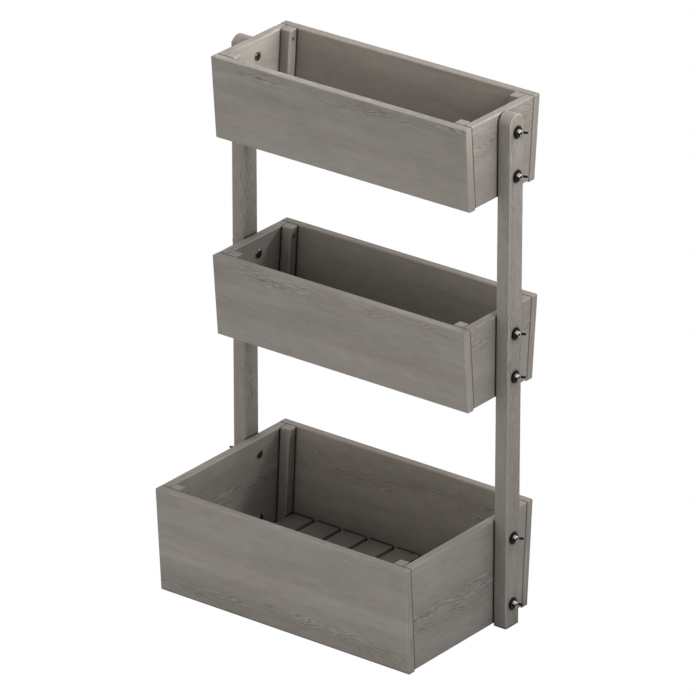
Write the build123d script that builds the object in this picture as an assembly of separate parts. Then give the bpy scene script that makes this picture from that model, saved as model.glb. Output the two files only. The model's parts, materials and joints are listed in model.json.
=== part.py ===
from build123d import *

import math
import os

# Tiered wooden planter: three leaning-sided boxes bolted between two posts.
# X runs along the boxes, Y points to the back, Z points up. All sizes are in millimetres.

# Boards of the boxes
BOARD_LENGTH = 550.0
BOARD_THICKNESS = 17.0
BOARD_LEAN = 13.0  # a long board's rim stands this far out beyond its foot
BOARD_EASE = 1.5  # chamfer along the boards' edges
END_BOARD_SETBACK = 0.5  # end boards stop this far inside the long boards' ends
END_BOARD_RISE = 3.0  # end boards and battens start this far above the long boards' foot

# The two equal upper boxes and the deeper bottom box
UPPER_RIM_DEPTH = 212.0
UPPER_HEIGHT = 156.0
UPPER_FORWARD = 3.5  # the box's middle ahead of the posts' centre line
TOP_RIM_Z = 965.0
MIDDLE_RIM_Z = 591.0
BOTTOM_RIM_DEPTH = 370.0
BOTTOM_HEIGHT = 202.0
BOTTOM_FORWARD = 89.5

# Posts
POST_WIDTH = 28.0
POST_DEPTH = 38.0
POST_ABOVE_RIM = 1.0
POST_EASE = 2.0  # chamfer round the posts' edges

# Corner battens
BATTEN_SIZE = 21.0
BATTEN_EASE = 1.5

# Slatted floor
FLOOR_HEIGHT = 36.0  # slats' upper face above the box's foot
SLAT_WIDTH = 52.0
SLAT_GAP = 8.0
SLAT_THICKNESS = 12.0
SLAT_END_GAP = 6.0  # left open at the right end, where the first slat is laid
SLAT_CLEARANCE = 1.0  # to the boards and battens around the floor
NARROWEST_SLAT = 15.0
CLEAT_HEIGHT = 18.0
CLEAT_DEPTH = 18.0
CLEAT_CLEARANCE = 0.3

# Coach bolts and wing nuts, size M6
BOLT_BELOW_RIM = 31.5
BOLT_ABOVE_FOOT = 43.5
BOLT_RADIUS = 3.0
BOLT_HEAD_RADIUS = 8.25
BOLT_HEAD_HEIGHT = 2.6
BOLT_NECK_WIDTH = 6.5  # the square neck fills the end board, so that the bolt can't turn
BOLT_BEYOND_NUT = 1.0
BOLT_HOLE_CLEARANCE = 0.3
NECK_CLEARANCE = 0.05
NUT_STAND_OFF = 1.65  # a washer's thickness left between nut and post
NUT_BORE_CLEARANCE = 0.05
NUT_HUB_HEIGHT = 6.5
NUT_HUB_RADIUS = 5.5
WING_THICKNESS = 2.6
WING_SPAN = 27.0
WING_REACH = 12.6  # wing tip above the nut's seat
WING_TIP_WIDTH = 5.8
WING_TIP_HEIGHT = 6.4
WING_TIP_CLIP = 1.9  # chamfer off the tip's corners
WING_ROOT_OFFSET = 4.3  # root of the wing, inside the hub, from the bolt's axis
WING_ROOT_LOW = 0.8  # lower and upper end of the root above the nut's seat
WING_ROOT_HIGH = 3.8

# Depths that set where the posts stand, with the origin below the middle of the whole planter
front_of_posts = max(BOTTOM_FORWARD + BOTTOM_RIM_DEPTH / 2, UPPER_FORWARD + UPPER_RIM_DEPTH / 2)
back_of_posts = max(BOTTOM_RIM_DEPTH / 2 - BOTTOM_FORWARD, UPPER_RIM_DEPTH / 2 - UPPER_FORWARD)
post_y = (front_of_posts - back_of_posts) / 2

# Places along X, on the right-hand side
end_outer_x = BOARD_LENGTH / 2 - END_BOARD_SETBACK
end_inner_x = end_outer_x - BOARD_THICKNESS
batten_inner_x = end_inner_x - BATTEN_SIZE
post_outer_x = end_outer_x + POST_WIDTH
nut_seat_x = post_outer_x + NUT_STAND_OFF


class Planter:
    """The measures of one box, by height where they follow the lean of its front and back."""

    def __init__(self, name, rim_depth, height, rim, forward, upper_turns, lower_turns):
        self.name = name
        self.rim_half_depth = rim_depth / 2
        self.height = height
        self.rim = rim
        self.foot = rim - height
        self.middle = post_y - forward
        self.level_factor = math.hypot(height, BOARD_LEAN) / height
        self.board_depth = BOARD_THICKNESS * self.level_factor
        self.batten_depth = BATTEN_SIZE * self.level_factor
        self.slat_foot = self.foot + FLOOR_HEIGHT - SLAT_THICKNESS
        self.bolt_levels = {
            "upper": (self.rim - BOLT_BELOW_RIM, upper_turns),
            "lower": (self.foot + BOLT_ABOVE_FOOT, lower_turns),
        }

    def inner_half_depth(self, z):
        outer = self.rim_half_depth - BOARD_LEAN * (self.rim - z) / self.height
        return outer - self.board_depth


# Turn of the wings from level, right and left, of the upper and the lower nuts, as a hand left them
TOP_TURNS = (-10.0, 80.0), (-9.0, 25.0)
MIDDLE_TURNS = (-9.0, 86.0), (-10.0, -40.0)
BOTTOM_TURNS = (-11.0, -11.0), (-14.0, 65.0)
PLANTERS = [
    Planter("top", UPPER_RIM_DEPTH, UPPER_HEIGHT, TOP_RIM_Z, UPPER_FORWARD, *TOP_TURNS),
    Planter("middle", UPPER_RIM_DEPTH, UPPER_HEIGHT, MIDDLE_RIM_Z, UPPER_FORWARD, *MIDDLE_TURNS),
    Planter("bottom", BOTTOM_RIM_DEPTH, BOTTOM_HEIGHT, BOTTOM_HEIGHT, BOTTOM_FORWARD, *BOTTOM_TURNS),
]


def side_plate(corners, low_x, high_x):
    """A plate whose outline, in Y and Z, runs from low_x to high_x."""
    outline = Plane.YZ.offset(low_x) * Polygon(*corners, align=None)
    return extrude(outline, amount=high_x - low_x, dir=(1, 0, 0))


def leaning_bar(planter, side, clear_of_board, depth, low_z, high_z, low_x, high_x):
    """A bar along the inside (or, with a negative clear_of_board, the thickness) of a leaning side."""
    corners = []
    for inset, z in [
        (clear_of_board, low_z),
        (clear_of_board, high_z),
        (clear_of_board + depth, high_z),
        (clear_of_board + depth, low_z),
    ]:
        y = planter.middle + side * (planter.inner_half_depth(z) - inset)
        corners.append((y, z))
    return side_plate(corners, low_x, high_x)


def long_board(planter, side):
    depth = planter.board_depth
    half_length = BOARD_LENGTH / 2
    board = leaning_bar(
        planter, side, -depth, depth, planter.foot, planter.rim, -half_length, half_length
    )
    return chamfer(board.edges(), BOARD_EASE)


def end_board(planter):
    """The right-hand end board: a trapezoid between the long boards, cut for its bolts' necks."""
    low = planter.foot + END_BOARD_RISE
    half_low = planter.inner_half_depth(low)
    half_high = planter.inner_half_depth(planter.rim)
    corners = [
        (planter.middle - half_low, low),
        (planter.middle + half_low, low),
        (planter.middle + half_high, planter.rim),
        (planter.middle - half_high, planter.rim),
    ]
    board = side_plate(corners, end_inner_x, end_outer_x)
    board = chamfer(board.edges(), BOARD_EASE)
    hole_width = BOLT_NECK_WIDTH + 2 * NECK_CLEARANCE
    middle_x = (end_inner_x + end_outer_x) / 2
    for z, _ in planter.bolt_levels.values():
        board -= Pos(middle_x, post_y, z) * Box(BOARD_THICKNESS, hole_width, hole_width)
    return board


def batten(planter, side):
    """A right-hand corner batten, in the corner of the end board and a long board."""
    low = planter.foot + END_BOARD_RISE
    bar = leaning_bar(
        planter, side, 0, planter.batten_depth, low, planter.rim, batten_inner_x, end_inner_x
    )
    return chamfer(bar.edges(), BATTEN_EASE)


def cleat(planter, side):
    """The ledger along a long board, between the battens, that carries the slats."""
    half_length = batten_inner_x - CLEAT_CLEARANCE
    low = planter.slat_foot - CLEAT_HEIGHT
    return leaning_bar(
        planter, side, 0, CLEAT_DEPTH, low, planter.slat_foot, -half_length, half_length
    )


def floor_slats(planter):
    """Slats laid from the right at an even pitch, the last one ripped to the width that is left."""
    length = 2 * (planter.inner_half_depth(planter.slat_foot) - SLAT_CLEARANCE)
    pitch = SLAT_WIDTH + SLAT_GAP
    run = 2 * batten_inner_x - SLAT_END_GAP - SLAT_CLEARANCE
    full_slats = int((run - NARROWEST_SLAT) // pitch)
    widths = [SLAT_WIDTH] * full_slats + [run - full_slats * pitch]
    right_edge = batten_inner_x - SLAT_END_GAP
    slats = []
    for width in widths:
        place = Pos(right_edge - width / 2, planter.middle, planter.slat_foot + SLAT_THICKNESS / 2)
        slats.append(place * Box(width, length, SLAT_THICKNESS))
        right_edge -= pitch
    return slats


def post():
    """The right-hand post: eased edges, a half-round top and a hole for each bolt."""
    top_radius = POST_DEPTH / 2
    shoulder = TOP_RIM_Z + POST_ABOVE_RIM - top_radius
    outline = Pos(0, shoulder / 2) * Rectangle(POST_DEPTH, shoulder)
    outline += Pos(0, shoulder) * Circle(top_radius)
    side_plane = Plane(origin=(end_outer_x, post_y, 0), x_dir=(0, 1, 0), z_dir=(1, 0, 0))
    bar = extrude(side_plane * outline, amount=POST_WIDTH)
    faces = bar.faces().sort_by(Axis.X)
    rims = faces[0].edges() + faces[-1].edges()
    bar = chamfer([edge for edge in rims if edge.center().Z > POST_EASE], POST_EASE)
    middle_x = (end_outer_x + post_outer_x) / 2
    for planter in PLANTERS:
        for z, _ in planter.bolt_levels.values():
            bar -= along_x(middle_x, post_y, z) * Cylinder(BOLT_RADIUS + BOLT_HOLE_CLEARANCE, POST_WIDTH)
    return bar


def coach_bolt():
    """A cup-head bolt along Z, with the seat of its head at the origin."""
    sphere_radius = (BOLT_HEAD_RADIUS**2 + BOLT_HEAD_HEIGHT**2) / (2 * BOLT_HEAD_HEIGHT)
    cup_angle = math.degrees(math.asin(BOLT_HEAD_RADIUS / sphere_radius))
    cup = Sphere(sphere_radius, arc_size1=-90, arc_size2=cup_angle - 90, align=None)
    cup = Pos(0, 0, sphere_radius - BOLT_HEAD_HEIGHT) * cup
    length = nut_seat_x + NUT_HUB_HEIGHT + BOLT_BEYOND_NUT - end_inner_x
    shank = Pos(0, 0, length / 2) * Cylinder(BOLT_RADIUS, length)
    neck_length = BOARD_THICKNESS - NECK_CLEARANCE
    neck = Pos(0, 0, neck_length / 2) * Box(BOLT_NECK_WIDTH, BOLT_NECK_WIDTH, neck_length)
    return cup + neck + shank


def wing_nut():
    """A wing nut along Z, seated at the origin, its wings along Y flaring away from the seat."""
    outer = WING_SPAN / 2
    tip_corners = [
        (outer, WING_REACH - WING_TIP_HEIGHT),
        (outer, WING_REACH),
        (outer - WING_TIP_WIDTH, WING_REACH),
    ]
    root_high = (WING_ROOT_OFFSET, WING_ROOT_HIGH)
    root_low = (WING_ROOT_OFFSET, WING_ROOT_LOW)
    wing_outline = Polygon(*tip_corners, root_high, root_low, align=None)
    corners = wing_outline.vertices().sort_by(Axis.X)[-len(tip_corners):]
    wing_outline = chamfer(corners, WING_TIP_CLIP)
    wing = extrude(Plane.YZ * wing_outline, amount=WING_THICKNESS / 2, both=True)
    hub = Pos(0, 0, NUT_HUB_HEIGHT / 2) * Cylinder(NUT_HUB_RADIUS, NUT_HUB_HEIGHT)
    nut = hub + wing + mirror(wing, about=Plane.XZ)
    return nut - Cylinder(BOLT_RADIUS + NUT_BORE_CLEARANCE, 2 * WING_REACH)


def along_x(x, y, z):
    """The place of a fastener that points to +X from the given spot."""
    return Pos(x, y, z) * Rot(0, 90, 0)


def left_of(piece):
    return mirror(piece, about=Plane.YZ)


def on_both_sides(name, right_piece):
    """Right- and left-hand nodes of a piece, by name; the name's * takes the side."""
    return {
        name.replace("*", "right"): right_piece,
        name.replace("*", "left"): left_of(right_piece),
    }


nodes = on_both_sides("*_post", post())
bolts = []
for planter in PLANTERS:
    name = planter.name
    nodes.update(on_both_sides(f"{name}_*_end_board", end_board(planter)))
    for side_name, side in [("front", -1), ("back", 1)]:
        nodes[f"{name}_{side_name}_board"] = long_board(planter, side)
        nodes[f"{name}_{side_name}_cleat"] = cleat(planter, side)
        nodes.update(on_both_sides(f"{name}_{side_name}_*_batten", batten(planter, side)))
    nodes[f"{name}_floor_slats"] = Compound(floor_slats(planter))
    for level, (z, (right_turn, left_turn)) in planter.bolt_levels.items():
        bolts.append(along_x(end_inner_x, post_y, z) * coach_bolt())
        nut_seat = along_x(nut_seat_x, post_y, z)
        nodes[f"{name}_right_{level}_wing_nut"] = nut_seat * Rot(0, 0, right_turn) * wing_nut()
        left_nut = left_of(nut_seat * Rot(0, 0, left_turn) * wing_nut())
        nodes[f"{name}_left_{level}_wing_nut"] = left_nut
nodes["coach_bolts"] = Compound(bolts + [left_of(bolt) for bolt in bolts])

os.makedirs("parts", exist_ok=True)
for name, shape in nodes.items():
    export_step(shape, f"parts/{name}.step")
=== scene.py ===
import json
import math
import random

import bmesh
import bpy
from mathutils import Matrix, Vector


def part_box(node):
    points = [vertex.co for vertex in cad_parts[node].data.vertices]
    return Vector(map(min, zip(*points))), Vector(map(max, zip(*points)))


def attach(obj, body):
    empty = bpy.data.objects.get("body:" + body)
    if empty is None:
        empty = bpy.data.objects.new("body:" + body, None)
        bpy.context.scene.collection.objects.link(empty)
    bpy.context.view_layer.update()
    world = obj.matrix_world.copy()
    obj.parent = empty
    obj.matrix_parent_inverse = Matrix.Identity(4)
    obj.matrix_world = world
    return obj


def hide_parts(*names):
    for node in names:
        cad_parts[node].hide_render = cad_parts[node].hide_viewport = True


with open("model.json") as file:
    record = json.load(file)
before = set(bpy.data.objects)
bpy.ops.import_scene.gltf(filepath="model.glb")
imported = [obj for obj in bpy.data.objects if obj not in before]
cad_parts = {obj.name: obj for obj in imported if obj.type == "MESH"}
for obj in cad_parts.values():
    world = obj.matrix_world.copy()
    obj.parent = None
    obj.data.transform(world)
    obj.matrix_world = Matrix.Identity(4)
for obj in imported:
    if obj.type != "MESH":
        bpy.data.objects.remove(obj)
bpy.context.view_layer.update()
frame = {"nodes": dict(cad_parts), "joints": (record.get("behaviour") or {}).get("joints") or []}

# Camera, in metres and degrees, in the frame of the part
CAMERA_TARGET = Vector((0.0066, 0.0, 0.4816))
CAMERA_DISTANCE = 12.606
CAMERA_AZIMUTH = 37.60
CAMERA_ELEVATION = 24.35
CAMERA_LENS = 376.35  # millimetres on a 36 mm wide sensor

# Lights, each with its place, what it points at and its size in metres, its spread in degrees
# and its power in watts
LIGHTS = {
    "front_fill": (Vector((0.0, -3.86, 1.54)), Vector((0.0, 0.0, 0.7)), 2.0, 180.0, 24.9),
    "low_front_fill": (Vector((0.0, -2.5, 0.4)), Vector((0.0, 0.0, 0.7)), 1.2, 180.0, 8.1),
    "back_key": (Vector((0.57, 2.18, 1.87)), Vector((0.0, 0.05, 0.7)), 0.6, 180.0, 40.8),
    "right_softbox": (Vector((0.9, 0.0, 1.45)), Vector((0.0, 0.0, 0.7)), 0.5, 180.0, 6.6),
    "overhead_softbox": (Vector((-0.15, 0.1, 1.25)), Vector((-0.15, 0.0, 0.7)), 0.3, 180.0, 0.45),
    "left_fill": (Vector((-2.6, 0.7, 0.5)), Vector((-0.3, 0.05, 0.5)), 1.0, 60.0, 3.0),
    "left_post_accent": (Vector((1.6, -0.6, 0.52)), Vector((-0.27, 0.086, 0.52)), 0.3, 30.0, 0.12),
    "top_left_accent": (Vector((1.3, 0.0, 1.5)), Vector((-0.27, 0.04, 0.95)), 0.3, 14.0, 0.29),
    "bottom_left_accent": (Vector((1.3, -0.9, 0.9)), Vector((-0.27, -0.12, 0.18)), 0.15, 12.0, 0.022),
}
LIGHT_COLOUR = (1.0, 0.985, 0.96)
WHITE = (1.0, 1.0, 1.0, 1.0)
AMBIENT_STRENGTH = 0.49
FLOOR_HALF_WIDTH = 14.0
FLOOR_SEGMENTS = 4
FLOOR_COLOUR = (0.8, 0.8, 0.8, 1.0)

# Wood: sizes in metres
RING_SPACING = 0.0040
SWAY_SIZE = 0.010  # how far the growth rings wander over a hand's width
CRINKLE_SIZE = 0.0018  # how far they wander over a finger's width
FIGURE_SPREAD = 0.012  # how far the edge of a figured band wanders
PALE_SPREAD = 0.004  # how far the edge of a pale band wanders
GRAIN_BUMP = 0.0005
CREVICE_REACH = 0.05
JOINT_REACH = 0.0045
EDGE_ROUNDING = 0.00055
MERGE_DISTANCE = 0.00001  # points of a solid nearer to each other than this are one

# How the edges of the wood are rounded
ROUNDING_SEGMENTS = 2
FLAT_ANGLE = 0.1  # degrees, below which two faces are taken for one
ROUNDED_ANGLE = 25.0  # degrees, above which an edge is rounded

# Noise
COARSE_DETAIL = 1.0
PLAIN_DETAIL = 2.0
FINE_DETAIL = 3.0
NOISE_MEAN = 0.5
NOISE_GAIN = 4.0  # noise strays about a quarter from its mean, so this brings it to about one
NOISE_RANGE = (0.2, 0.8)  # it hardly ever leaves this

# Patterns of the wood's tone: how often each repeats in a metre along, across and through the
# grain, its detail and its weight
TONE_PATTERNS = {
    "band": ((1.5, 26.0, 26.0), PLAIN_DETAIL, 0.36),
    "blotch": ((6.0, 14.0, 14.0), PLAIN_DETAIL, 0.30),
    "ripple": ((32.0, 95.0, 95.0), PLAIN_DETAIL, 0.25),
    "streak": ((7.0, 210.0, 210.0), FINE_DETAIL, 0.10),
    "fibre": ((60.0, 1400.0, 1400.0), PLAIN_DETAIL, 0.18),
}

# How often the other patterns of the wood repeat in a metre, along, across and through the grain
SWAY_SCALE = (8.0, 32.0, 32.0)
CRINKLE_SCALE = (42.0, 150.0, 150.0)
WANDER_SCALE = (3.0, 11.0, 11.0)
PATCH_SCALE = (7.0, 19.0, 19.0)
PORE_SCALE = (90.0, 800.0, 800.0)
TINT_SCALE = (2.5, 30.0, 30.0)
END_GRAIN_SCALE = (330.0, 12.0, 330.0)
RING_TILT = 0.8  # how far the rings lean on their way through a board

# Tone of the wood, from 0 for the darkest to 1 for the palest, and what adds to it
MEAN_TONE = 0.52
FIGURE_TONE = -0.03
DARK_RING_TONE = -0.26
PALE_RING_TONE = 0.20
PORE_TONE = -0.12
END_GRAIN_WEIGHT = 0.9
BOARD_EDGE_HIGHLIGHT = 0.12  # painted highlight: how much paler the eased edges are
POST_EDGE_HIGHLIGHT = 0.16

# Where each effect on the wood starts and where it is full, as values of what drives it
PATCH_LIMITS = (0.30, 0.50)
PORE_LIMITS = (0.66, 0.74)
DARK_RING_LIMITS = (0.2, 1.0)
PALE_RING_LIMITS = (-0.5, -1.0)
END_GRAIN_LIMITS = (0.80, 0.95)
EASED_EDGE_LIMITS = (0.97, 0.80)
BAND_CORE = 0.45  # the share of a band's half width in which it is full

# How open a corner or a joint is where its shade is deepest and where it ends
CREVICE_LIMITS = (0.30, 0.95)
JOINT_LIMITS = (0.56, 0.92)

# Shade and surface of the wood
HOLLOW_SHADE = 0.60  # what is left of the colour deep in a corner
GROUND_SHADE = 0.88  # the same on the outer boards near the ground
JOINT_SHADE = 0.03  # what is left of the colour in a closed joint
OPENNESS_SAMPLES = 6
WOOD_ROUGHNESS = (0.74, 0.60)  # where the streaks are dark and where they are pale
WOOD_SPECULAR = 0.3
FIBRE_HEIGHT = 0.4  # height of the fibres against the depth of the dark rings
BUMP_STRENGTH = 0.4

# The crinkled figure of a piece: how far it lies above the middle of a board, or to the right of a
# post's, and its half width, in metres, and its strength
FIGURE = {
    "top_front_board": (0.066, 0.016, 1.2),
    "middle_front_board": (0.066, 0.016, 1.0),
    "bottom_front_board": (-0.071, 0.020, 1.2),
    "top_right_end_board": (0.040, 0.05, 0.9),
    "middle_right_end_board": (0.040, 0.05, 0.9),
    "bottom_left_end_board": (0.02, 0.045, 1.0),
    "bottom_right_end_board": (-0.008, 0.034, 1.2),
    "bottom_back_board": (0.055, 0.030, 1.0),
    "left_post": (0.018, 0.016, 0.9),
    "right_post": (0.018, 0.016, 0.8),
}

# The same for the plainer pieces, its place and half width drawn between two limits each
PLAIN_FIGURE_PLACES = (-0.05, 0.05)
PLAIN_FIGURE_WIDTHS = (0.006, 0.016)
PLAIN_FIGURE_STRENGTH = 0.4

# A pale band along a board: its height above the middle and its half width, in metres, and how
# much it adds to the tone
PALE_BAND = {
    "top_front_board": (-0.050, 0.028, 0.05),
    "middle_front_board": (-0.056, 0.032, 0.09),
    "bottom_front_board": (-0.014, 0.020, 0.13),
}

# Colours of the wood by tone, in linear light, and the slight drift of its tint
WOOD_STOPS = [
    (0.0, (0.105, 0.094, 0.081)),
    (0.5, (0.228, 0.210, 0.190)),
    (1.0, (0.355, 0.331, 0.303)),
]
# The same, painted warmer for the warm light that bounces between the boards inside the boxes
BOUNCE_WARMED_STOPS = [
    (0.0, (0.107, 0.0935, 0.078)),
    (0.5, (0.231, 0.209, 0.183)),
    (1.0, (0.360, 0.329, 0.292)),
]
TINT_STOPS = [(0.35, (1.012, 1.0, 0.982)), (0.65, (0.990, 1.0, 1.012))]

# Which pieces take which wood, and how it lies in them
BOUNCE_WARMED_PIECES = ("back_board", "slats")  # how the names end of the pieces painted warmer, as warm light bounced between the boards
NEAR_THE_GROUND = ("bottom_front_board", "bottom_right_end_board")
GRAIN_ORDER = {"x": "XZY", "y": "YZX", "z": "ZXY"}  # axes along, across and through the grain
GRAIN_OFFSET = 5.0  # how far from the origin, in metres, a piece's own stretch of wood may lie
SEED = 7

# Metals, each with its colour in linear light, its roughness and how metallic its surface is
METALS = {
    "black_plated_steel": ((0.003, 0.003, 0.003), 0.50, 0.0),
    "bronzed_steel": ((0.035, 0.030, 0.025), 0.45, 0.0),
    "cast_nut_steel": ((0.004, 0.004, 0.004), 0.36, 0.0),
    "dark_thread_steel": ((0.05, 0.048, 0.045), 0.30, 1.0),
    "zinc_plated_steel": ((0.15, 0.144, 0.136), 0.12, 1.0),
}
HUB_HIGHLIGHT_COLOUR = (0.54, 0.53, 0.505)  # painted highlight: the bright bare metal of a wing nut's hub
CLOUD_SCALE = (300.0, 300.0, 300.0)  # repeats in a metre along each axis
SCRATCH_SCALE = (2500.0, 9000.0, 2500.0)
CLOUD_LIMITS = (0.3, 0.7)
CLOUD_SHARES = (0.7, 1.25)  # of the metal's colour, at those limits
SCRATCH_ROUGHNESS = (-0.08, 0.12)  # added to the roughness, at the ends of the noise's range
SCRATCH_STRENGTH = 0.15
SCRATCH_DEPTH = 0.00004
METAL_SPECULAR = 0.08

# Fasteners: sizes in metres
WASHER_RADIUS = 0.0111
WASHER_BORE = 0.0032
WASHER_EASE = 0.0003
EASE_CUT = 0.3  # how far in the middle of an eased edge lies, as a share of its ease
HEAD_RADIUS = 0.00825
HEAD_HEIGHT = 0.0026
HEAD_EDGE = 0.0006
NECK_HALF = 0.00325
NECK_LENGTH = 0.0169
SHANK_RADIUS = 0.003
PLAY = 0.00002  # how far a shank and a washer stay clear of what they fit
THREAD_PITCH = 0.001
THREAD_DEPTH = 0.00035
THREAD_LENGTH = 0.011
THREAD_CHAMFER = 0.0006
SEAM_DISTANCE = 0.000001  # points of a turned piece nearer to each other than this are one

# Wing nut: outlines of the hub, as radius and height, and of a wing, as reach and height, in metres
NUT_BORE = 0.0033
HUB_OUTLINE = [
    (NUT_BORE, 0.0), (0.0060, 0.0), (0.0060, 0.0012), (0.0054, 0.0030), (0.0048, 0.0060),
    (0.0044, 0.0065), (NUT_BORE, 0.0065), (NUT_BORE, 0.0),
]
WING_OUTLINE = [
    (0.0030, 0.0006), (0.0068, 0.0016), (0.0110, 0.0046), (0.0136, 0.0078), (0.0140, 0.0106),
    (0.0124, 0.0125), (0.0100, 0.0118), (0.0078, 0.0090), (0.0058, 0.0058), (0.0030, 0.0046),
]
WING_REACH = max(reach for reach, _ in WING_OUTLINE)
WING_TIP = 0.011  # what lies farther from the axis belongs to a wing's tip
WING_ROOT_HALF = 0.0021
WING_TIP_HALF = 0.0015
HIGHLIT_HUB_REACH = 0.0056  # the hub is painted bright, as its highlight, out to about this far from the axis
HUB_HIGHLIGHT_LIMITS = (1.12 * HIGHLIT_HUB_REACH, 0.95 * HIGHLIT_HUB_REACH)  # where the painted highlight starts and where it is full
CAST_GRAIN = 0.00035  # size of the cells that the hub and wings are fused in
SOFTEN_FACTOR = 0.5
SOFTEN_PASSES = 5

# Screws in the battens: sizes in metres
SCREW_HEAD_RADIUS = 0.0034
SCREW_RISE = 0.00015
SCREW_DEPTH = 0.002
SCREW_BELOW_RIM = 0.017
SCREW_ABOVE_FOOT = 0.045
RECESS_DEPTH = 0.6 * SCREW_DEPTH
CROSS_ARM = 0.55 * SCREW_HEAD_RADIUS
CROSS_HALF = 0.13 * SCREW_HEAD_RADIUS
PIT_SHARE = 0.5  # size of the recess at its bottom against its top
SKIRT_SHARE = 0.45  # radius of the head at its foot against its top
BATTEN_END = 0.004  # points within this of a batten's end tell where its middle is there

# Steps of the round pieces
ROUND_STEPS = 48
HEAD_STEPS = 40
DOME_STEPS = 9
SHANK_STEPS = 24
SQUARE_STEPS = 4
THREAD_ROWS = 6  # rows of points to each turn of the thread
CURVE_STEPS = 6  # to each side of a smoothed outline

# Shading of the fasteners
THREADED = 1  # place of the thread's material among the bolts' materials
SMOOTH_ANGLE = 35.0  # degrees, above which an edge is sharp
SCREW_SMOOTH_ANGLE = 30.0

nodes = frame["nodes"]
joints = {joint["child"]: joint for joint in frame["joints"]}


# Node trees

def add_node(tree, kind, inputs=None, **settings):
    """A node with its settings, whose inputs take either a value or another node's output."""
    made = tree.nodes.new(kind)
    for name, value in settings.items():
        setattr(made, name, value)
    for key, value in (inputs or {}).items():
        if isinstance(value, bpy.types.NodeSocket):
            tree.links.new(value, made.inputs[key])
        else:
            made.inputs[key].default_value = value
    return made


def calculate(tree, operation, first, second=0.0, third=0.0):
    made = add_node(tree, "ShaderNodeMath", {0: first, 1: second, 2: third}, operation=operation)
    return made.outputs[0]


def calculate_vector(tree, operation, first, second):
    made = add_node(tree, "ShaderNodeVectorMath", {0: first, 1: second}, operation=operation)
    return made.outputs[0]


def noise(tree, place, scale, detail=PLAIN_DETAIL):
    """Noise of mean 0.5, stretched by its own scale along each axis."""
    stretched = calculate_vector(tree, "MULTIPLY", place, scale)
    made = add_node(
        tree, "ShaderNodeTexNoise", {"Vector": stretched, "Scale": 1.0, "Detail": detail}
    )
    return made.outputs["Fac"]


def remap(tree, value, limits, results=(0.0, 1.0)):
    """The value drawn out from its limits to the results, and held there beyond them."""
    inputs = {
        "Value": value,
        "From Min": limits[0],
        "From Max": limits[1],
        "To Min": results[0],
        "To Max": results[1],
    }
    return add_node(tree, "ShaderNodeMapRange", inputs).outputs[0]


def weigh(tree, start, terms):
    """The start plus each noise's distance from its mean, times its weight."""
    total = start
    for value, weight in terms:
        centred = calculate(tree, "SUBTRACT", value, NOISE_MEAN)
        total = calculate(tree, "MULTIPLY_ADD", centred, weight, total)
    return total


# The mixing node has sockets of the same name for each kind of value, so they go by number

def mix(tree, share, first, second):
    """From the first number to the second, by the share."""
    return add_node(tree, "ShaderNodeMix", {0: share, 2: first, 3: second}).outputs[0]


def mix_colour(tree, share, first, second):
    """From the first colour to the second, by the share."""
    made = add_node(tree, "ShaderNodeMix", {0: share, 6: first, 7: second}, data_type="RGBA")
    return made.outputs[2]


def colour_ramp(tree, value, stops):
    ramp = add_node(tree, "ShaderNodeValToRGB", {"Fac": value})
    elements = ramp.color_ramp.elements
    for element, (position, colour) in zip(elements, stops):
        element.position = position
        element.color = (*colour, 1.0)
    for position, colour in stops[len(elements):]:
        elements.new(position).color = (*colour, 1.0)
    return ramp.outputs["Color"]


def new_material(name):
    material = bpy.data.materials.new(name)
    material.use_nodes = True
    tree = material.node_tree
    tree.nodes.clear()
    return material, tree


def finish_material(tree, inputs):
    shader = add_node(tree, "ShaderNodeBsdfPrincipled", inputs)
    add_node(tree, "ShaderNodeOutputMaterial", {"Surface": shader.outputs[0]})


# Wood

def grain_axis(node):
    if node.endswith(("post", "batten")):
        return "z"
    if node.endswith(("end_board", "slats")):
        return "y"
    return "x"


def figure_of(node, draw):
    """The figure chosen for a node, or else a plain one. That one is drawn either way, so that a choice
    leaves the other pieces' wood as it is."""
    middle = draw.uniform(*PLAIN_FIGURE_PLACES)
    half_width = draw.uniform(*PLAIN_FIGURE_WIDTHS)
    return FIGURE.get(node, (middle, half_width, PLAIN_FIGURE_STRENGTH))


def grain_places(tree, node, draw):
    """How far a point lies across and through the grain from the piece's middle, and its place in
    a stretch of wood that is the piece's own."""
    low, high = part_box(node)
    place = add_node(tree, "ShaderNodeTexCoord").outputs["Object"]
    local = calculate_vector(tree, "SUBTRACT", place, (low + high) / 2)
    parts = add_node(tree, "ShaderNodeSeparateXYZ", {0: local}).outputs
    along, across, through = [parts[axis] for axis in GRAIN_ORDER[grain_axis(node)]]
    turned = add_node(tree, "ShaderNodeCombineXYZ", {0: along, 1: across, 2: through}).outputs[0]
    offset = Vector([draw.uniform(-GRAIN_OFFSET, GRAIN_OFFSET) for _ in range(3)])
    return across, through, calculate_vector(tree, "ADD", turned, offset)


def facing(tree):
    """How far the surface faces along each axis, either way, from 0 to 1."""
    normal = add_node(tree, "ShaderNodeNewGeometry").outputs["Normal"]
    size = calculate_vector(tree, "ABSOLUTE", normal, (0.0, 0.0, 0.0))
    return add_node(tree, "ShaderNodeSeparateXYZ", {0: size}).outputs


def edge_mask(tree, sides, round_about_x):
    """One on an eased edge and nothing on a flat face, told from the way the surface faces."""
    if round_about_x:
        squared = calculate(tree, "MULTIPLY", sides["X"], sides["X"])
        across = calculate(tree, "SQRT", calculate(tree, "SUBTRACT", 1.0, squared))
    else:
        across = calculate(tree, "MAXIMUM", sides["Y"], sides["Z"])
    squareness = calculate(tree, "MAXIMUM", sides["X"], across)
    return remap(tree, squareness, EASED_EDGE_LIMITS)


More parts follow.
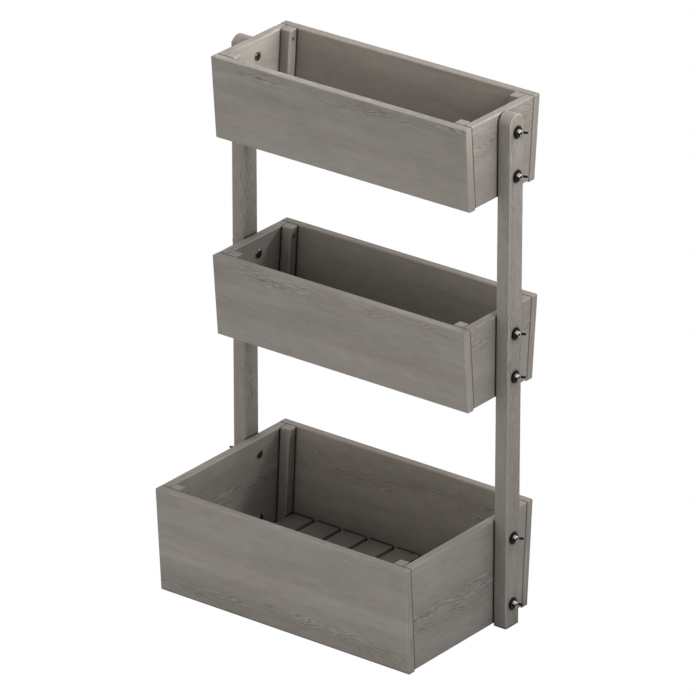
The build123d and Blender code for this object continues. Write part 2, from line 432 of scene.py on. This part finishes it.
def band_mask(tree, moved, across, band, spread):
    """The strength of a band along the grain in its middle, less towards its wandering edges."""
    middle, half_width, strength = band
    wander = calculate(tree, "SUBTRACT", noise(tree, moved, WANDER_SCALE), NOISE_MEAN)
    wandered = calculate(tree, "MULTIPLY_ADD", wander, NOISE_GAIN * spread, across)
    away = calculate(tree, "ABSOLUTE", calculate(tree, "SUBTRACT", wandered, middle))
    return remap(tree, away, (half_width, BAND_CORE * half_width), (0.0, strength))


def ring_wave(tree, moved, across, through):
    """Swaying, crinkled growth rings as a wave from -1 to 1."""
    sway = noise(tree, moved, SWAY_SCALE)
    crinkle = noise(tree, moved, CRINKLE_SCALE)
    bent = calculate(tree, "MULTIPLY_ADD", through, RING_TILT, across)
    bent = calculate(tree, "MULTIPLY_ADD", sway, NOISE_GAIN * SWAY_SIZE, bent)
    bent = calculate(tree, "MULTIPLY_ADD", crinkle, NOISE_GAIN * CRINKLE_SIZE, bent)
    return calculate(tree, "SINE", calculate(tree, "MULTIPLY", bent, 2 * math.pi / RING_SPACING))


def figure_rings(tree, moved, across, through, figure):
    """Where the figure lies, and its dark and its pale rings."""
    patches = remap(tree, noise(tree, moved, PATCH_SCALE), PATCH_LIMITS)
    band = band_mask(tree, moved, across, figure, FIGURE_SPREAD)
    mask = calculate(tree, "MULTIPLY", band, patches)
    wave = ring_wave(tree, moved, across, through)
    dark_rings = calculate(tree, "MULTIPLY", remap(tree, wave, DARK_RING_LIMITS), mask)
    pale_rings = calculate(tree, "MULTIPLY", remap(tree, wave, PALE_RING_LIMITS), mask)
    return mask, dark_rings, pale_rings


def openness(tree, reach):
    """One in the open, less where other surfaces stand within reach."""
    made = add_node(
        tree, "ShaderNodeAmbientOcclusion", {"Distance": reach}, samples=OPENNESS_SAMPLES
    )
    return made.outputs["AO"]


def corner_shade(tree, node):
    """What is left of the colour in corners and in joints."""
    hollow_shade = GROUND_SHADE if node in NEAR_THE_GROUND else HOLLOW_SHADE
    crevice = remap(tree, openness(tree, CREVICE_REACH), CREVICE_LIMITS, (hollow_shade, 1.0))
    joint = remap(tree, openness(tree, JOINT_REACH), JOINT_LIMITS, (JOINT_SHADE, 1.0))
    return calculate(tree, "MULTIPLY", crevice, joint)


def wood(node, draw):
    """Grey-washed softwood: soft bands, a crinkled figure, fibres, pores and end grain, with a painted
    highlight on the eased edges and painted shade in corners and joints.
    """
    material, tree = new_material(f"wood_{node}")
    figure = figure_of(node, draw)
    across, through, moved = grain_places(tree, node, draw)
    sides = facing(tree)

    patterns = {}
    weighted = []
    for name, (scale, detail, weight) in TONE_PATTERNS.items():
        patterns[name] = noise(tree, moved, scale, detail)
        weighted.append((patterns[name], weight))
    mask, dark_rings, pale_rings = figure_rings(tree, moved, across, through, figure)
    pores = remap(tree, noise(tree, moved, PORE_SCALE, COARSE_DETAIL), PORE_LIMITS)
    tone = weigh(tree, MEAN_TONE, weighted)
    tone = calculate(tree, "MULTIPLY_ADD", mask, FIGURE_TONE, tone)
    tone = calculate(tree, "MULTIPLY_ADD", dark_rings, DARK_RING_TONE, tone)
    tone = calculate(tree, "MULTIPLY_ADD", pale_rings, PALE_RING_TONE, tone)
    tone = calculate(tree, "MULTIPLY_ADD", pores, PORE_TONE, tone)

    end_streak = noise(tree, moved, END_GRAIN_SCALE, FINE_DETAIL)
    end_tone = weigh(tree, MEAN_TONE, [(end_streak, END_GRAIN_WEIGHT)])
    end_mask = remap(tree, sides[grain_axis(node).upper()], END_GRAIN_LIMITS)
    tone = mix(tree, end_mask, tone, end_tone)
    if node in PALE_BAND:
        pale = band_mask(tree, moved, across, PALE_BAND[node], PALE_SPREAD)
        tone = calculate(tree, "ADD", pale, tone)
    is_post = node.endswith("post")
    edge_highlight = POST_EDGE_HIGHLIGHT if is_post else BOARD_EDGE_HIGHLIGHT
    # Painted highlight: the eased edges are made paler, as light catching them
    tone = calculate(tree, "MULTIPLY_ADD", edge_mask(tree, sides, is_post), edge_highlight, tone)

    # Painted warm bounce light on the back boards and slats
    stops = BOUNCE_WARMED_STOPS if node.endswith(BOUNCE_WARMED_PIECES) else WOOD_STOPS
    tint = colour_ramp(tree, noise(tree, moved, TINT_SCALE, COARSE_DETAIL), TINT_STOPS)
    colour = calculate_vector(tree, "MULTIPLY", colour_ramp(tree, tone, stops), tint)
    shade = corner_shade(tree, node)
    shaded = add_node(tree, "ShaderNodeVectorMath", {0: colour, "Scale": shade}, operation="SCALE")

    fibre_height = calculate(tree, "MULTIPLY", patterns["fibre"], FIBRE_HEIGHT)
    height = calculate(tree, "SUBTRACT", fibre_height, dark_rings)
    bump = add_node(
        tree, "ShaderNodeBump", {"Height": height, "Strength": BUMP_STRENGTH, "Distance": GRAIN_BUMP}
    )
    finish_material(tree, {
        "Base Color": shaded.outputs[0],
        "Roughness": remap(tree, patterns["streak"], NOISE_RANGE, WOOD_ROUGHNESS),
        "Specular IOR Level": WOOD_SPECULAR,
        "Normal": bump.outputs[0],
    })
    return material


def round_edges(piece):
    """Joins the flat faces of a solid and rounds its edges."""
    weld = piece.modifiers.new("weld", "WELD")
    weld.merge_threshold = MERGE_DISTANCE
    merging = piece.modifiers.new("merging", "DECIMATE")
    merging.decimate_type = "DISSOLVE"
    merging.angle_limit = math.radians(FLAT_ANGLE)
    rounding = piece.modifiers.new("rounding", "BEVEL")
    rounding.width = EDGE_ROUNDING
    rounding.segments = ROUNDING_SEGMENTS
    rounding.limit_method = "ANGLE"
    rounding.angle_limit = math.radians(ROUNDED_ANGLE)
    rounding.harden_normals = True


def dress_wood():
    """A wood of its own for every wooden node, with the grain along the piece, and rounded edges
    for all but the posts, whose solids are eased already."""
    draw = random.Random(SEED)
    for name in sorted(nodes):
        if name.endswith("wing_nut") or name == "coach_bolts":
            continue
        piece = nodes[name]
        piece.data.materials.clear()
        piece.data.materials.append(wood(name, draw))
        if not name.endswith("post"):
            round_edges(piece)


# Metal

def metal(name, hub_highlight=None):
    """Plated steel with a cloudy finish and fine scratches, and if asked a painted highlight of bright
    bare metal about the axis.
    """
    material, tree = new_material(name)
    colour, roughness, metallic = METALS[name]
    place = add_node(tree, "ShaderNodeTexCoord").outputs["Object"]
    cloud = noise(tree, place, CLOUD_SCALE, FINE_DETAIL)
    scratch = noise(tree, place, SCRATCH_SCALE)
    stops = []
    for limit, share in zip(CLOUD_LIMITS, CLOUD_SHARES):
        stops.append((limit, [share * part for part in colour]))
    shade = colour_ramp(tree, cloud, stops)
    # Painted highlight: bright bare metal on the hub about the axis
    if hub_highlight:
        flat = calculate_vector(tree, "MULTIPLY", place, (1.0, 1.0, 0.0))
        radius = add_node(tree, "ShaderNodeVectorMath", {0: flat}, operation="LENGTH").outputs["Value"]
        highlit = remap(tree, radius, HUB_HIGHLIGHT_LIMITS)
        shade = mix_colour(tree, highlit, shade, (*hub_highlight, 1.0))
        metallic = remap(tree, radius, HUB_HIGHLIGHT_LIMITS, (metallic, 1.0))
    bump = add_node(
        tree,
        "ShaderNodeBump",
        {"Height": scratch, "Strength": SCRATCH_STRENGTH, "Distance": SCRATCH_DEPTH},
    )
    rough_limits = [roughness + added for added in SCRATCH_ROUGHNESS]
    finish_material(tree, {
        "Base Color": shade,
        "Metallic": metallic,
        "Roughness": remap(tree, scratch, NOISE_RANGE, rough_limits),
        "Specular IOR Level": METAL_SPECULAR,
        "Normal": bump.outputs[0],
    })
    return material


# Making meshes

def lathe(mesh, profile, steps, place=Matrix.Identity(4), start=0.0):
    """Turns a profile of (radius, height) pairs about Z, closing it where the radius is zero."""
    rings = []
    for radius, height in profile:
        if radius == 0.0:
            rings.append([mesh.verts.new(place @ Vector((0.0, 0.0, height)))])
            continue
        ring = []
        for step in range(steps):
            angle = start + 2 * math.pi * step / steps
            spot = Vector((radius * math.cos(angle), radius * math.sin(angle), height))
            ring.append(mesh.verts.new(place @ spot))
        rings.append(ring)
    for lower, upper in zip(rings, rings[1:]):
        for step in range(steps):
            after = (step + 1) % steps
            corners = [
                lower[step % len(lower)],
                lower[after % len(lower)],
                upper[after % len(upper)],
                upper[step % len(upper)],
            ]
            mesh.faces.new(list(dict.fromkeys(corners)))


def smooth_outline(points, steps):
    """A closed smooth curve through the points."""
    count = len(points)
    for index in range(count):
        before, here, after, beyond = [Vector(points[(index + shift) % count]) for shift in (-1, 0, 1, 2)]
        for step in range(steps):
            way = step / steps
            yield 0.5 * (
                2 * here + (after - before) * way
                + (2 * before - 5 * here + 4 * after - beyond) * way * way
                + (3 * here - before - 3 * after + beyond) * way * way * way
            )


def finish_piece(mesh, name, materials, body, smooth_angle=SMOOTH_ANGLE):
    """Makes the mesh a smoothly shaded piece with its materials, which rides on a body."""
    bmesh.ops.recalc_face_normals(mesh, faces=mesh.faces)
    data = bpy.data.meshes.new(name)
    mesh.to_mesh(data)
    mesh.free()
    data.shade_smooth()
    data.set_sharp_from_angle(angle=math.radians(smooth_angle))
    for material in materials:
        data.materials.append(material)
    piece = bpy.data.objects.new(name, data)
    bpy.context.scene.collection.objects.link(piece)
    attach(piece, body)
    return piece


# Where the fasteners go

def fastener_places():
    """For each nut: its name, where its seat is and which way it points."""
    for name in sorted(joints):
        joint = joints[name]
        yield name, Vector(joint["pos_m"]), Vector(joint["axis"])


def along_axis(seat, axis):
    """Stands a piece made along Z at the seat, pointing along the axis, with its Y kept."""
    back = Vector((0.0, 1.0, 0.0))
    turn = Matrix((back.cross(axis), back, axis)).transposed()
    return Matrix.Translation(seat) @ turn.to_4x4()


def post_face(axis):
    """X of the outer face of the post that a fastener on that axis goes through."""
    side = "right" if axis.x > 0 else "left"
    low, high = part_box(f"{side}_post")
    return high.x if axis.x > 0 else low.x


def end_board_face(name, axis):
    """X of the inner face of the end board that a nut's bolt goes through."""
    side = "right" if axis.x > 0 else "left"
    low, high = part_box(f"{name.split('_')[0]}_{side}_end_board")
    return low.x if axis.x > 0 else high.x


# Washers

def rounded_profile(inner, outer, low, high, ease):
    """Closed outline of a flat ring with eased outer edges."""
    cut = EASE_CUT * ease
    return [
        (inner, low), (outer - ease, low), (outer - cut, low + cut), (outer, low + ease),
        (outer, high - ease), (outer - cut, high - cut), (outer - ease, high), (inner, high),
        (inner, low),
    ]


def make_washers(material):
    mesh = bmesh.new()
    for _, seat, axis in fastener_places():
        thickness = abs(seat.x - post_face(axis))
        profile = rounded_profile(WASHER_BORE, WASHER_RADIUS, -thickness, -PLAY, WASHER_EASE)
        lathe(mesh, profile, ROUND_STEPS, along_axis(seat, axis))
    bmesh.ops.remove_doubles(mesh, verts=mesh.verts, dist=SEAM_DISTANCE)
    finish_piece(mesh, "washers", [material], "frame")


# Coach bolts

def thread_radius(angle, height, crest):
    """Radius of a right-hand thread at an angle and a height."""
    turn = (height / THREAD_PITCH - angle / (2 * math.pi)) % 1.0
    return crest - THREAD_DEPTH * abs(2 * turn - 1)


def add_thread(mesh, place, crest, low, high):
    """A threaded stretch of shank with a chamfered end."""
    rows = int((high - low) / THREAD_PITCH * THREAD_ROWS)
    rings = []
    for row in range(rows + 1):
        height = low + (high - low) * row / rows
        end_cut = max(0.0, height - (high - THREAD_CHAMFER))
        ring = []
        for step in range(SHANK_STEPS):
            angle = 2 * math.pi * step / SHANK_STEPS
            radius = min(thread_radius(angle, height, crest), crest - end_cut)
            spot = Vector((radius * math.cos(angle), radius * math.sin(angle), height))
            ring.append(mesh.verts.new(place @ spot))
        rings.append(ring)
    faces = [mesh.faces.new(rings[-1]), mesh.faces.new(list(reversed(rings[0])))]
    for lower, upper in zip(rings, rings[1:]):
        for step in range(SHANK_STEPS):
            after = (step + 1) % SHANK_STEPS
            faces.append(mesh.faces.new((lower[step], lower[after], upper[after], upper[step])))
    for face in faces:
        face.material_index = THREADED


def add_bolt(mesh, place, length):
    """A coach bolt along Z, from the seat of its domed head: square neck, shank and threaded end."""
    dome = [(0.0, -HEAD_HEIGHT)]
    for step in range(1, DOME_STEPS + 1):
        angle = math.pi / 2 * step / DOME_STEPS
        dome.append((HEAD_RADIUS * math.sin(angle), -HEAD_HEIGHT * math.cos(angle)))
    lathe(mesh, dome + [(HEAD_RADIUS - HEAD_EDGE, 0.0), (0.0, 0.0)], HEAD_STEPS, place)
    corner = NECK_HALF * math.sqrt(2)
    neck = [(0.0, 0.0), (corner, 0.0), (corner, NECK_LENGTH), (0.0, NECK_LENGTH)]
    lathe(mesh, neck, SQUARE_STEPS, place, math.pi / SQUARE_STEPS)
    plain = SHANK_RADIUS - PLAY
    thread_start = length - THREAD_LENGTH
    shank = [(0.0, NECK_LENGTH), (plain, NECK_LENGTH), (plain, thread_start), (0.0, thread_start)]
    lathe(mesh, shank, SHANK_STEPS, place)
    add_thread(mesh, place, SHANK_RADIUS, thread_start, length)


def make_bolts(plain, threaded):
    mesh = bmesh.new()
    end_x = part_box("coach_bolts")[1].x
    for name, seat, axis in fastener_places():
        inner_x = end_board_face(name, axis)
        place = along_axis(Vector((inner_x, seat.y, seat.z)), axis)
        add_bolt(mesh, place, end_x - abs(inner_x))
    bolts = finish_piece(mesh, "coach_bolts_visual", [plain, threaded], "frame")
    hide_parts("coach_bolts")


# Wing nuts

def wing_turn(name, seat):
    """How far the wings of a nut stand turned from level, read from the tips of its solid. Angles are
    doubled, so that the two opposite wings add up."""
    spread = Vector((0.0, 0.0))
    for vertex in nodes[name].data.vertices:
        arm = Vector((vertex.co.y - seat.y, vertex.co.z - seat.z))
        if arm.length > WING_TIP:
            twice = 2 * math.atan2(arm.y, arm.x)
            spread += Vector((math.cos(twice), math.sin(twice)))
    return math.atan2(spread.y, spread.x) / 2


def add_wing(mesh, side):
    """One wing, thinner towards its tip, on the side of +Y or -Y."""
    near, far = [], []
    for spot in smooth_outline(WING_OUTLINE, CURVE_STEPS):
        share = spot.x / WING_REACH
        half = WING_ROOT_HALF + (WING_TIP_HALF - WING_ROOT_HALF) * share
        near.append(mesh.verts.new((-half, side * spot.x, spot.y)))
        far.append(mesh.verts.new((half, side * spot.x, spot.y)))
    mesh.faces.new(near)
    mesh.faces.new(list(reversed(far)))
    for index in range(len(near)):
        after = (index + 1) % len(near)
        mesh.faces.new((near[after], near[index], far[index], far[after]))


def cast_nut_mesh(material):
    """A cast wing nut along Z: hub and wings fused by a fine remesh and smoothed."""
    mesh = bmesh.new()
    lathe(mesh, HUB_OUTLINE, ROUND_STEPS)
    bmesh.ops.remove_doubles(mesh, verts=mesh.verts, dist=SEAM_DISTANCE)
    for side in (1, -1):
        add_wing(mesh, side)
    bmesh.ops.recalc_face_normals(mesh, faces=mesh.faces)
    data = bpy.data.meshes.new("wing_nut_blank")
    mesh.to_mesh(data)
    mesh.free()
    blank = bpy.data.objects.new("wing_nut_blank", data)
    bpy.context.scene.collection.objects.link(blank)
    remesh = blank.modifiers.new("fuse", "REMESH")
    remesh.mode = "VOXEL"
    remesh.voxel_size = CAST_GRAIN
    soften = blank.modifiers.new("soften", "SMOOTH")
    soften.factor = SOFTEN_FACTOR
    soften.iterations = SOFTEN_PASSES
    graph = bpy.context.evaluated_depsgraph_get()
    cast = bpy.data.meshes.new_from_object(blank.evaluated_get(graph))
    bpy.data.objects.remove(blank)
    cast.shade_smooth()
    cast.materials.clear()
    cast.materials.append(material)
    return cast


def make_nuts(material):
    cast = cast_nut_mesh(material)
    for name, seat, axis in fastener_places():
        piece = bpy.data.objects.new(f"{name}_visual", cast)
        bpy.context.scene.collection.objects.link(piece)
        turn = Matrix.Rotation(wing_turn(name, seat), 4, "X")
        piece.matrix_world = Matrix.Translation(seat) @ turn @ along_axis(Vector(), axis)
        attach(piece, name)
        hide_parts(name)


# Batten screws

def add_screw(mesh, place):
    """One screw head, almost flush, with a cross-shaped recess."""
    arm, half = CROSS_ARM, CROSS_HALF
    cross = [
        (arm, -half), (arm, half), (half, half), (half, arm), (-half, arm), (-half, half),
        (-arm, half), (-arm, -half), (-half, -half), (-half, -arm), (half, -arm), (half, -half),
    ]
    pit_z = SCREW_RISE - RECESS_DEPTH
    rim = [mesh.verts.new(place @ Vector((x, y, SCREW_RISE))) for x, y in cross]
    pit = [mesh.verts.new(place @ Vector((PIT_SHARE * x, PIT_SHARE * y, pit_z))) for x, y in cross]
    edge = []
    skirt = []
    for step in range(SHANK_STEPS):
        angle = 2 * math.pi * step / SHANK_STEPS
        x, y = SCREW_HEAD_RADIUS * math.cos(angle), SCREW_HEAD_RADIUS * math.sin(angle)
        edge.append(mesh.verts.new(place @ Vector((x, y, SCREW_RISE))))
        skirt.append(mesh.verts.new(place @ Vector((SKIRT_SHARE * x, SKIRT_SHARE * y, -SCREW_DEPTH))))
    edges = []
    for loop in (rim, edge):
        for index, vertex in enumerate(loop):
            edges.append(mesh.edges.new((vertex, loop[(index + 1) % len(loop)])))
    bmesh.ops.triangle_fill(mesh, edges=edges, use_beauty=True)
    for upper, lower in ((rim, pit), (edge, skirt)):
        for index in range(len(upper)):
            after = (index + 1) % len(upper)
            mesh.faces.new((upper[index], upper[after], lower[after], lower[index]))
    mesh.faces.new(pit)
    mesh.faces.new(skirt)


def middle_of(places):
    return (min(places) + max(places)) / 2


def make_screws(material):
    """Countersunk screws with a cross recess, two in the inner face of each upper box's batten."""
    mesh = bmesh.new()
    for name in sorted(nodes):
        if not name.endswith("batten") or name.startswith("bottom"):
            continue
        low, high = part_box(name)
        inward = -1.0 if "right" in name else 1.0
        face_x = low.x if inward < 0 else high.x
        corners = [vertex.co for vertex in nodes[name].data.vertices]
        lower = middle_of([corner.y for corner in corners if corner.z < low.z + BATTEN_END])
        upper = middle_of([corner.y for corner in corners if corner.z > high.z - BATTEN_END])
        for z in (high.z - SCREW_BELOW_RIM, low.z + SCREW_ABOVE_FOOT):
            share = (z - low.z) / (high.z - low.z)
            spot = Vector((face_x, lower + (upper - lower) * share, z))
            add_screw(mesh, along_axis(spot, Vector((inward, 0.0, 0.0))))
    finish_piece(mesh, "batten_screws", [material], "frame", SCREW_SMOOTH_ANGLE)


# Stage

def seen_by_the_eye(tree):
    """One where the camera, a mirror or a window sees the surface, nothing where it only gives light."""
    path = add_node(tree, "ShaderNodeLightPath").outputs
    seen = calculate(tree, "MAXIMUM", path["Is Camera Ray"], path["Is Glossy Ray"])
    return calculate(tree, "MAXIMUM", seen, path["Is Transmission Ray"])


def make_floor():
    """A floor of pale paper that gives light back to the object, and that the eye sees as plain white."""
    mesh = bmesh.new()
    bmesh.ops.create_grid(
        mesh, x_segments=FLOOR_SEGMENTS, y_segments=FLOOR_SEGMENTS, size=FLOOR_HALF_WIDTH
    )
    data = bpy.data.meshes.new("floor")
    mesh.to_mesh(data)
    mesh.free()
    floor = bpy.data.objects.new("floor", data)
    bpy.context.scene.collection.objects.link(floor)
    material, tree = new_material("floor_paper")
    paper = add_node(tree, "ShaderNodeBsdfDiffuse", {"Color": FLOOR_COLOUR})
    white = add_node(tree, "ShaderNodeEmission", {"Color": WHITE, "Strength": 1.0})
    seen = seen_by_the_eye(tree)
    mixed = add_node(tree, "ShaderNodeMixShader", {0: seen, 1: paper.outputs[0], 2: white.outputs[0]})
    add_node(tree, "ShaderNodeOutputMaterial", {"Surface": mixed.outputs[0]})
    data.materials.append(material)


def make_world():
    """A white backdrop to the eye, and a dimmer light all round on the object."""
    world = bpy.data.worlds.new("studio")
    bpy.context.scene.world = world
    world.use_nodes = True
    tree = world.node_tree
    tree.nodes.clear()
    strength = remap(tree, seen_by_the_eye(tree), (0.0, 1.0), (AMBIENT_STRENGTH, 1.0))
    backdrop = add_node(tree, "ShaderNodeBackground", {"Color": WHITE, "Strength": strength})
    add_node(tree, "ShaderNodeOutputWorld", {"Surface": backdrop.outputs[0]})


def add_light(name, place, target, size, spread, power):
    lamp = bpy.data.lights.new(name, "AREA")
    lamp.shape = "DISK"
    lamp.size = size
    lamp.spread = math.radians(spread)
    lamp.energy = power
    lamp.color = LIGHT_COLOUR
    light = bpy.data.objects.new(name, lamp)
    light.location = place
    light.rotation_euler = (target - place).to_track_quat("-Z", "Y").to_euler()
    light.visible_camera = False
    bpy.context.scene.collection.objects.link(light)


def add_camera():
    azimuth = math.radians(CAMERA_AZIMUTH)
    elevation = math.radians(CAMERA_ELEVATION)
    towards = Vector((
        math.sin(azimuth) * math.cos(elevation),
        -math.cos(azimuth) * math.cos(elevation),
        math.sin(elevation),
    ))
    data = bpy.data.cameras.new("camera")
    data.lens = CAMERA_LENS
    camera = bpy.data.objects.new("camera", data)
    camera.location = CAMERA_TARGET + CAMERA_DISTANCE * towards
    camera.rotation_euler = (math.pi / 2 - elevation, 0.0, azimuth)
    bpy.context.scene.collection.objects.link(camera)
    bpy.context.scene.camera = camera


dress_wood()
make_washers(metal("black_plated_steel"))
make_nuts(metal("cast_nut_steel", HUB_HIGHLIGHT_COLOUR))
make_bolts(metal("zinc_plated_steel"), metal("dark_thread_steel"))
make_screws(metal("bronzed_steel"))

make_floor()
make_world()
for name, settings in LIGHTS.items():
    add_light(name, *settings)
add_camera()
bpy.context.scene.view_settings.view_transform = "Standard"
